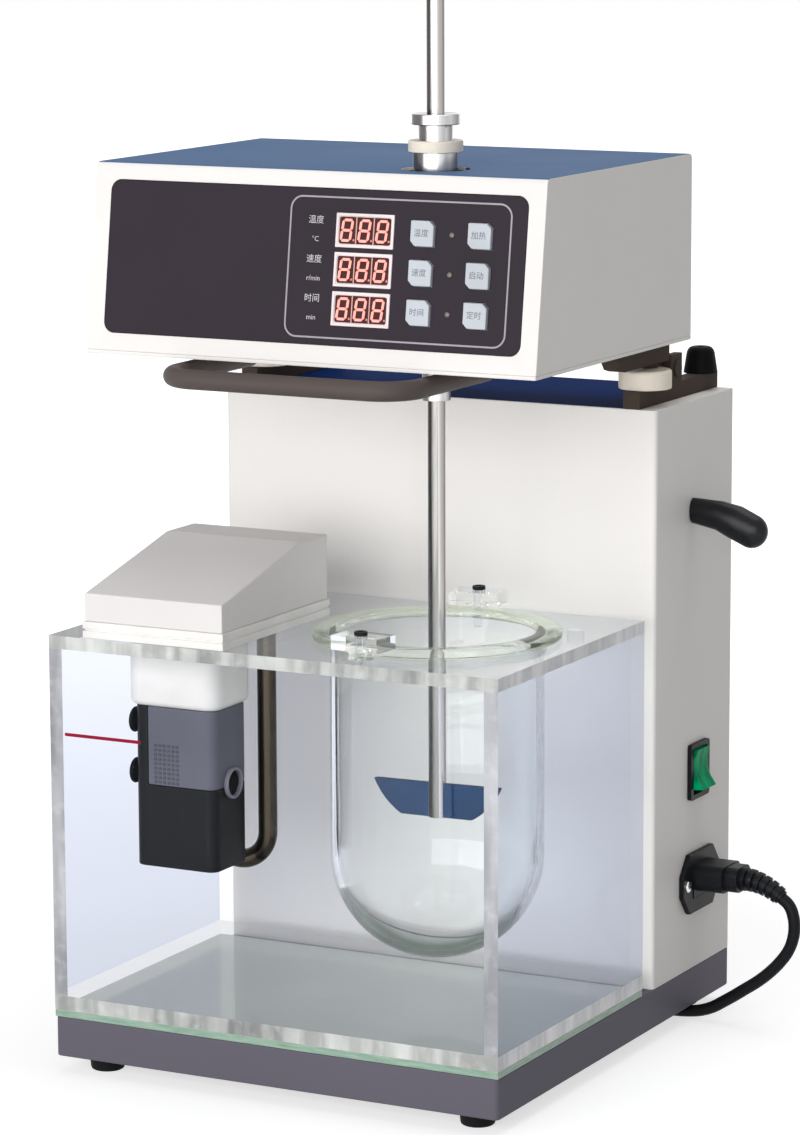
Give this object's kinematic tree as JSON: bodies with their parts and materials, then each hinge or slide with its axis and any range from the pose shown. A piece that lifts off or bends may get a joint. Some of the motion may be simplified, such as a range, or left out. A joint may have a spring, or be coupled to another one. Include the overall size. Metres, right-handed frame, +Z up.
{
  "type": "dissolution tester",
  "caption": "Bench dissolution tester: a paddle on a driven spindle stirs a round-bottomed glass vessel in a clear heated water bath, under a tilting head with displays and keys.",
  "frame": {"origin": "on the bench, in the middle of the box that the machine fills without its mains lead", "axes": "+X to the machine's right, +Y to its back, +Z up; the control panel faces -Y"},
  "size_m": [0.3284, 0.4128, 0.5925],
  "materials": {
    "base_paint": "fine textured dark paint",
    "black_rubber": "matt",
    "mat_glass": "clear with a green edge",
    "clear_acrylic": "polished and clear",
    "vessel_glass": "clear",
    "clip_plastic": "clear",
    "bright_steel": "bright",
    "white_plastic": "satin",
    "cover_grey": "satin",
    "pump_grey": "satin",
    "black_plastic": "satin",
    "heater_sheath": "dull bronze",
    "body_paint": "fine textured paint",
    "navy_paint": "satin",
    "rocker_green": "clear green",
    "bracket_paint": "satin",
    "nylon": "satin",
    "plain_metal": "plain",
    "panel_film": "satin film",
    "display_white": "satin frame round a red window",
    "led_amber": "clear",
    "key_white": "satin",
    "board_green": "satin",
    "blade_coat": "smooth blue-grey",
    "cord_black": "matt",
    "tie_grey": "satin"
  },
  "bodies": {
    "frame": {"base_pan": "base_paint", "base_feet": "black_rubber", "glass_mat": "mat_glass", "water_tank": "clear_acrylic", "tank_lid": "clear_acrylic", "vessel": "vessel_glass", "clip_screws": "bright_steel", "circulator_plate": "white_plastic", "circulator_cover": "cover_grey", "pump_neck": "white_plastic", "pump_motor": "pump_grey", "pump_canister": "black_plastic", "suction_cups": "black_rubber", "pump_nozzle": "pump_grey", "heater_tube": "heater_sheath", "column_shell": "body_paint", "column_back": "body_paint", "column_top": "navy_paint", "cover_screws": "bright_steel", "switch_bezel": "black_plastic", "power_inlet": "black_plastic", "hinge_rails": "bracket_paint", "hinge_pins": "bright_steel", "rest_discs": "nylon", "rubber_bumpers": "black_rubber", "power_supply": "plain_metal", "cord_connector": "black_plastic", "cord_run": "cord_black", "cord_coil": "cord_black", "cord_tie": "tie_grey", "mains_plug": "black_plastic"},
    "clip_front": {"vessel_clip_front": "clip_plastic"},
    "clip_rear": {"vessel_clip_rear": "clip_plastic"},
    "rocker": {"switch_rocker": "rocker_green"},
    "lever": {"lock_lever": "black_plastic"},
    "head": {"head_shell": "body_paint", "head_floor": "body_paint", "front_panel": "panel_film", "displays": "display_white", "indicator_leds": "led_amber", "lift_handle": "bracket_paint", "head_brackets": "bracket_paint", "drive_motor": "plain_metal", "drive_belt": "black_plastic", "bearing_housing": "plain_metal", "bearings": "bright_steel", "control_board": "board_green"},
    "spindle": {"spindle": "bright_steel", "spindle_pulley": "bright_steel", "chuck_ring": "nylon"},
    "nut": {"chuck_nut": "plain_metal"},
    "motor_rotor": {"motor_pulley": "bright_steel"},
    "paddle": {"paddle_shaft": "bright_steel", "paddle_blade": "blade_coat"},
    "key_1": {"key_1": "key_white"},
    "key_2": {"key_2": "key_white"},
    "key_3": {"key_3": "key_white"},
    "key_4": {"key_4": "key_white"},
    "key_5": {"key_5": "key_white"},
    "key_6": {"key_6": "key_white"}
  },
  "joints": [
    {"name": "head_tilt", "type": "hinge", "parent": "frame", "child": "head", "pos_m": [-0.02225, 0.0925, 0.369], "axis": [-1, 0, 0], "range_deg": [0, 8]},
    {"name": "spindle_spin", "type": "hinge", "parent": "head", "child": "spindle", "pos_m": [0.03075, -0.0595, 0.44], "axis": [0, 0, 1], "continuous": true},
    {"name": "motor_spin", "type": "hinge", "parent": "head", "child": "motor_rotor", "pos_m": [-0.06825, -0.0205, 0.44], "axis": [0, 0, 1], "continuous": true},
    {"name": "paddle_lift", "type": "slide", "parent": "spindle", "child": "paddle", "axis": [0, 0, 1], "range_m": [-0.048, 0.186]},
    {"name": "nut_turn", "type": "hinge", "parent": "spindle", "child": "nut", "pos_m": [0.03075, -0.0595, 0.512], "axis": [0, 0, 1], "range_deg": [0, 90]},
    {"name": "rocker_tilt", "type": "hinge", "parent": "frame", "child": "rocker", "pos_m": [0.10875, 0.1005, 0.144], "axis": [0, 1, 0], "range_deg": [0, 20]},
    {"name": "lever_turn", "type": "hinge", "parent": "frame", "child": "lever", "pos_m": [0.11075, 0.0925, 0.291], "axis": [1, 0, 0], "range_deg": [0, 60]},
    {"name": "clip_front_turn", "type": "hinge", "parent": "frame", "child": "clip_front", "pos_m": [0.02433, -0.13282, 0.245], "axis": [0, 0, 1], "range_deg": [0, 180]},
    {"name": "clip_rear_turn", "type": "hinge", "parent": "frame", "child": "clip_rear", "pos_m": [0.01924, 0.01319, 0.245], "axis": [0, 0, 1], "range_deg": [0, 180]},
    {"name": "key_1_press", "type": "slide", "parent": "head", "child": "key_1", "axis": [0, 0.9905, -0.1373], "range_m": [0, 0.001]},
    {"name": "key_2_press", "type": "slide", "parent": "head", "child": "key_2", "axis": [0, 0.9905, -0.1373], "range_m": [0, 0.001]},
    {"name": "key_3_press", "type": "slide", "parent": "head", "child": "key_3", "axis": [0, 0.9905, -0.1373], "range_m": [0, 0.001]},
    {"name": "key_4_press", "type": "slide", "parent": "head", "child": "key_4", "axis": [0, 0.9905, -0.1373], "range_m": [0, 0.001]},
    {"name": "key_5_press", "type": "slide", "parent": "head", "child": "key_5", "axis": [0, 0.9905, -0.1373], "range_m": [0, 0.001]},
    {"name": "key_6_press", "type": "slide", "parent": "head", "child": "key_6", "axis": [0, 0.9905, -0.1373], "range_m": [0, 0.001]}
  ],
  "couplings": [
    {"joint": "motor_spin", "follows": "spindle_spin", "ratio": 1.6667}
  ]
}
